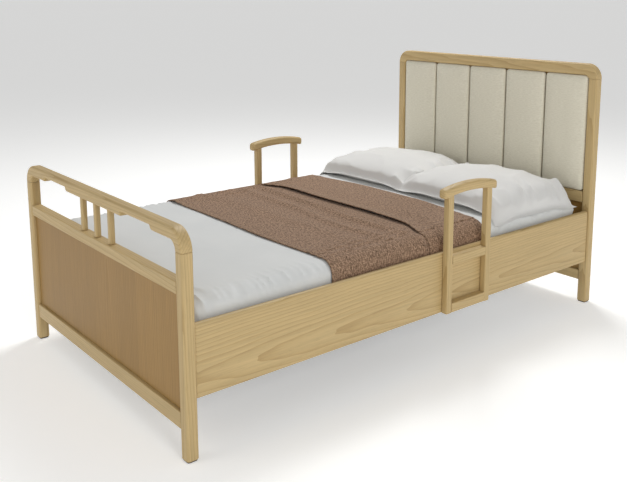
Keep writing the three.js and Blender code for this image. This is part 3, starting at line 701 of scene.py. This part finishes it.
def throw_wave(across, along):
    """Soft folds: long low waves that run across the bed by the cuff, slanting pulls where the
    cloth bends down, and close gathers along that bend."""
    drift = 0.035 * noise.noise(Vector((across * 2.4, 0.0, 11.0))) - 0.03 * across
    fade = smooth_step((0.62 - abs(across)) / 0.25)
    waves = 0.0130 * ridge(along, -0.030 + drift, 0.018) * fade
    waves += 0.0105 * ridge(along, -0.125 + 1.5 * drift, 0.022) * fade
    waves += 0.0050 * ridge(along, -0.255 - drift, 0.045) * fade
    waves += 0.0040 * ridge(along, 0.215 + drift, 0.050) * fade
    broad = noise.noise(Vector((across * 2.1 + 3.0, along * 4.5, 0.0)))
    bend = smooth_step((abs(across) - 0.36) / 0.17) * smooth_step((0.65 - abs(across)) / 0.1)
    pull = noise.noise(Vector((across * 7 + along * 15, along * 6 - across * 5, 2.0)))
    gather = noise.noise(Vector((across * 5, along * 41, 3.0)))
    fine = noise.noise(Vector((across * 19, along * 25, 7.0)))
    crinkle = bend * (crease(Vector((across * 26, along * 7, 5.0))) + 0.3) * 0.0080
    soft = max(0.0, 0.0012 + 0.0022 * broad)
    return soft + waves + crinkle + bend * (max(0.0, pull) * 0.009 + max(0.0, gather) * 0.0045) + (
        0.0009 * max(0.0, fine))


def cloth_grid(columns, rows, place):
    """A grid of cloth with its own UV map in metres. place turns the two shares into a flat
    position on the cloth and a point in the room."""
    bm = bmesh.new()
    bmesh.ops.create_grid(bm, x_segments=columns, y_segments=rows, size=0.5)
    layer = bm.loops.layers.uv.new("cloth")
    flat = {}
    for v in bm.verts:
        flat[v], v.co = place(v.co.x + 0.5, v.co.y + 0.5)
    for face in bm.faces:
        for loop in face.loops:
            loop[layer].uv = flat[loop.vert]
    return bm


def cuff_start(across):
    """The cuff's free edge wanders a little, and towards the sides it is drawn to the foot."""
    wander = 0.007 * noise.noise(Vector((across * 3.0, 1.0, 4.0)))
    return THROW_CUFF + wander - 0.045 * smooth_step((abs(across) - 0.40) / 0.14)


def main_place(u, v):
    """The main cloth, from its foot hem to its end under the cuff."""
    across = (2 * u - 1) * THROW_HALF
    along = THROW_FOOT + v * (MAIN_END - THROW_FOOT)
    hem = HEM_THICK * smooth_step((THROW_FOOT + HEM_WIDE - along) / 0.006)
    under_cuff = smooth_step((along - cuff_start(across) + 0.035) / 0.03)
    lift = MAIN_LIFT + hem + throw_wave(across, along) * (1 - 0.9 * under_cuff)
    y = along + 0.006 * noise.noise(Vector((across * 3, 0, 9.0))) * (1 - v)
    return (across, along), over_mattress(across, y, lift)


def cuff_edge(across):
    """The folded head edge lies further back in the middle than at the sides."""
    return THROW_HEAD - 0.050 * smooth_step((abs(across) - 0.15) / 0.45)


CUFF_RETURN = 0.10
CUFF_FOLD = (FOLD_LIFT - UNDER_LIFT) / 2


def cuff_place(u, v):
    """The cuff, from its free edge over the fold to the end of its return."""
    across = (2 * u - 1) * THROW_HALF
    start, head = cuff_start(across), cuff_edge(across)
    top = head - CUFF_FOLD - start
    run = v * (top + math.pi * CUFF_FOLD + CUFF_RETURN)
    wave = throw_wave(across, start + min(run, top))
    if run < top:
        share = run / top
        hem = HEM_THICK * smooth_step((HEM_WIDE - run) / 0.006)
        gape = CUFF_GAPE * smooth_step((0.07 - run) / 0.07) * smooth_step(
            (0.52 - abs(across)) / 0.2)
        lift = CUFF_LIFT + (FOLD_LIFT - CUFF_LIFT) * share + hem + gape
        lift += wave * (0.55 - 0.25 * share)
        y = start + run
    elif run < top + math.pi * CUFF_FOLD:
        turn = (run - top) / CUFF_FOLD
        lift = UNDER_LIFT + CUFF_FOLD + CUFF_FOLD * math.cos(turn) + wave * 0.3
        y = head - CUFF_FOLD + CUFF_FOLD * math.sin(turn)
    else:
        lift = UNDER_LIFT + wave * 0.15
        y = head - CUFF_FOLD - (run - top - math.pi * CUFF_FOLD)
    return (across, start + run), over_mattress(across, y, max(lift, LEAST_LIFT))


def finish_cloth(bm, name):
    """A length of the throw with its thickness."""
    piece = make_piece(bm, name, knit)
    body = piece.modifiers.new("cloth_thickness", "SOLIDIFY")
    body.thickness = THROW_THICK
    body.offset = 0
    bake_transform(piece)
    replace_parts(piece, "throw")


main = cloth_grid(250, 100, main_place)
for length, start, end, bodies, zone, _ in LENGTHS:
    finish_cloth(cut_length(main, start, end, False), f"throw_{length}")
main.free()
finish_cloth(cloth_grid(250, 90, cuff_place), "throw_cuff")

# ---- Pillows --------------------------------------------------------------------------------
# Two filled cotton pillows lie side by side against the headboard. Each case is sewn from two
# flat panels, so the filling draws creases from its corners.
pillow_cotton, tree, shader = surface("white_pillow_cotton", {
    "Roughness": 0.85, "Sheen Weight": 0.25, "Sheen Roughness": 0.5, "Specular IOR Level": 0.3})
place = add_node(tree, "ShaderNodeTexCoord").outputs["Object"]
cloud = add_node(tree, "ShaderNodeTexNoise", {}, {"Vector": place, "Scale": 7.0, "Detail": 4.0})
tone = add_node(tree, "ShaderNodeValToRGB", {}, {"Fac": cloud.outputs["Fac"]})
tone.color_ramp.elements[0].color = linear("#D4D3D0")
tone.color_ramp.elements[1].color = linear("#DFDEDB")
threads = add_node(tree, "ShaderNodeTexNoise", {}, {"Vector": place, "Scale": 900.0, "Detail": 1.0})
bump = add_node(tree, "ShaderNodeBump", {}, {
    "Height": threads.outputs["Fac"], "Strength": 0.2, "Distance": 0.0002})
tree.links.new(tone.outputs["Color"], shader.inputs["Base Color"])
tree.links.new(bump.outputs[0], shader.inputs["Normal"])


PILLOW_FULL = 0.8  # the share of the sides' pull between the corners that the filling fills out
SEAM_HEIGHT, PILLOW_LIFT = 0.024, 0.0025
FOLD_DEPTH, UNDER_TUCK = 0.046, 0.08
CASE_COLUMNS, CASE_ROWS = 76, 64  # threads across and along that the cloth is worked out on
FILL_STEPS, CLOTH_PASSES, FILL_PUSH = 90, 5, 0.0010
THREAD_GIVE = 0.10  # how little of a shortening the cloth resists: it folds instead


def hold_length(cloth, axis, way, rest):
    """Moves each pair of neighbouring points back to their distance in the flat case. The pairs
    run along a row or a column, or with way 1 or -1 across the squares between."""
    rows, columns = cloth.shape[1:3]
    for start in (0, 1):
        if axis == 0:
            near, far = cloth[:, :, start:columns - 1:2], cloth[:, :, start + 1::2]
        elif way == 0:
            near, far = cloth[:, start:rows - 1:2], cloth[:, start + 1::2]
        elif way > 0:
            near, far = cloth[:, start:rows - 1:2, :-1], cloth[:, start + 1::2, 1:]
        else:
            near, far = cloth[:, start:rows - 1:2, 1:], cloth[:, start + 1::2, :-1]
        gap = far - near
        length = numpy.sqrt((gap * gap).sum(axis=3, keepdims=True))
        over = length - rest
        shift = gap * (numpy.where(over > 0, 0.5, 0.5 * THREAD_GIVE) * over / length)
        near += shift
        far -= shift


def fill_case(size, seed):
    """A flat case of two panels, sewn round its edge and blown up step by step as cloth. Its
    points may move by a millimetre or so from one run to the next."""
    step_x, step_y = size[0] / CASE_COLUMNS, size[1] / CASE_ROWS
    cloth = numpy.zeros((2, CASE_ROWS + 1, CASE_COLUMNS + 1, 3))
    for side, row, column in numpy.ndindex(2, CASE_ROWS + 1, CASE_COLUMNS + 1):
        x, y = column * step_x - size[0] / 2, row * step_y - size[1] / 2
        edge = min(1 - abs(x) * 2 / size[0], 1 - abs(y) * 2 / size[1])
        puff = 0.030 * smooth_step(edge * 4) * (1 - 2 * side)
        waver = noise.noise_vector(Vector((x * 17, y * 17, seed + side * 5)))
        slack = 0.4 + smooth_step(2.2 * math.hypot(x / size[0], y / size[1]) - 0.4)
        cloth[side, row, column] = (x + waver.x * 0.003 * slack, y + waver.y * 0.003 * slack,
                                    puff + waver.z * 0.009 * slack)
    before = cloth.copy()
    for _ in range(FILL_STEPS):
        across = numpy.gradient(cloth, axis=2)
        along = numpy.gradient(cloth, axis=1)
        out = numpy.cross(across, along)
        out /= numpy.sqrt((out * out).sum(axis=3, keepdims=True)) + 1e-12
        out[1] *= -1
        moved = (cloth - before) * 0.9
        before = cloth.copy()
        cloth += moved + out * FILL_PUSH
        for _ in range(CLOTH_PASSES):
            hold_length(cloth, 0, 0, step_x)
            hold_length(cloth, 1, 0, step_y)
            hold_length(cloth, 1, 1, math.hypot(step_x, step_y))
            hold_length(cloth, 1, -1, math.hypot(step_x, step_y))
            for rim in (numpy.s_[:, 0], numpy.s_[:, -1], numpy.s_[:, :, 0], numpy.s_[:, :, -1]):
                cloth[rim] = cloth[rim].mean(axis=0, keepdims=True)
    return cloth


def pillow(name, centre, turn, size, height, seed):
    """A filled case settled on the mattress with its seam low and its corners down."""
    cloth = fill_case(size, seed)
    bm = bmesh.new()
    bmesh.ops.create_grid(bm, x_segments=CASE_COLUMNS, y_segments=CASE_ROWS, size=0.5)
    panel = bm.faces[:]
    lower = bmesh.ops.duplicate(bm, geom=bm.verts[:] + bm.edges[:] + panel)["geom"]
    bmesh.ops.reverse_faces(bm, faces=[f for f in lower if isinstance(f, bmesh.types.BMFace)])
    below = {v for v in lower if isinstance(v, bmesh.types.BMVert)}
    panels, points = {}, {}
    for v in bm.verts:
        panels[v] = Vector((v.co.x * size[0], v.co.y * size[1], 0))
        points[v] = cloth[int(v in below), round((v.co.y + 0.5) * CASE_ROWS),
                          round((v.co.x + 0.5) * CASE_COLUMNS)].tolist()
    reach = [max(p[i] for p in points.values()) for i in range(3)]
    waist = [max(p[i] for p in points.values() if abs(p[1 - i]) < 0.04) / reach[i]
             for i in range(2)]
    cos, sin = math.cos(turn), math.sin(turn)
    for v, (x, y, z) in points.items():
        over, along = x / reach[0], y / reach[1]
        x /= 1 - PILLOW_FULL * (1 - waist[0]) * (1 - along * along)
        y /= 1 - PILLOW_FULL * (1 - waist[1]) * (1 - over * over)
        cut_over, cut_along = panels[v].x * 2 / size[0], panels[v].y * 2 / size[1]
        hem = 0.85 * smooth_step((max(abs(cut_over), abs(cut_along)) - 0.84) / 0.14)
        x += (cut_over * reach[0] - x) * hem
        y += (cut_along * reach[1] - y) * hem
        rise = z / reach[2] * (1 - hem)
        corner = smooth_step((abs(over) - 0.40) / 0.45) * smooth_step((abs(along) - 0.40) / 0.45)
        radial = math.atan2(abs(along) - 1.15, abs(over) - 1.15) * 2.6
        folds = corner * 1.1 * crease(Vector((radial, x * 3 + seed, y * 3)))
        folds += 0.55 * smooth_step((abs(over) - 0.5) / 0.4) * crease(
            Vector((y * 14 + x * 4, x * 4, seed)))
        folds += 0.40 * smooth_step((abs(along) - 0.6) / 0.4) * crease(
            Vector((x * 14 + y * 4, y * 4, seed + 4)))
        folds += 0.25 * crease(Vector((x * 5 + y * 4, y * 6 - x * 3, seed)))
        folds *= 0.75 + 0.35 * over
        seam = SEAM_HEIGHT * (1 - 0.6 * corner)
        if rise > 0:
            level = (seam + (height - seam) * rise ** 0.75
                     + FOLD_DEPTH * folds * smooth_step(rise * 3.2))
        else:
            tuck = min(-rise * 2.4, 1.0)
            level = seam * (1 - tuck)
            x, y = x * (1 - UNDER_TUCK * tuck), y * (1 - UNDER_TUCK * tuck)
        here = (centre[0] + x * cos - y * sin, centre[1] + x * sin + y * cos)
        past = max(abs(here[0]) - mattress_high.x + MATTRESS_EDGE, 0.0)
        fall = MATTRESS_EDGE - math.sqrt(max(MATTRESS_EDGE ** 2 - past * past, 0.0001))
        v.co = (*here, mattress_high.z + PILLOW_LIFT + level - fall)
    bmesh.ops.remove_doubles(bm, verts=bm.verts, dist=MERGE)
    piece = make_piece(bm, name, pillow_cotton)
    smooth = piece.modifiers.new("smooth", "SUBSURF")
    smooth.levels = smooth.render_levels = 1
    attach(piece, "back_rest")
    return piece


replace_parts(pillow("pillow_left_filled", (-0.280, 0.696), math.radians(2.0), (0.645, 0.570),
                   0.122, 1.3), "pillow_left")
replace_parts(pillow("pillow_right_filled", (0.288, 0.690), math.radians(-2.5), (0.645, 0.570),
                   0.126, 8.7), "pillow_right")
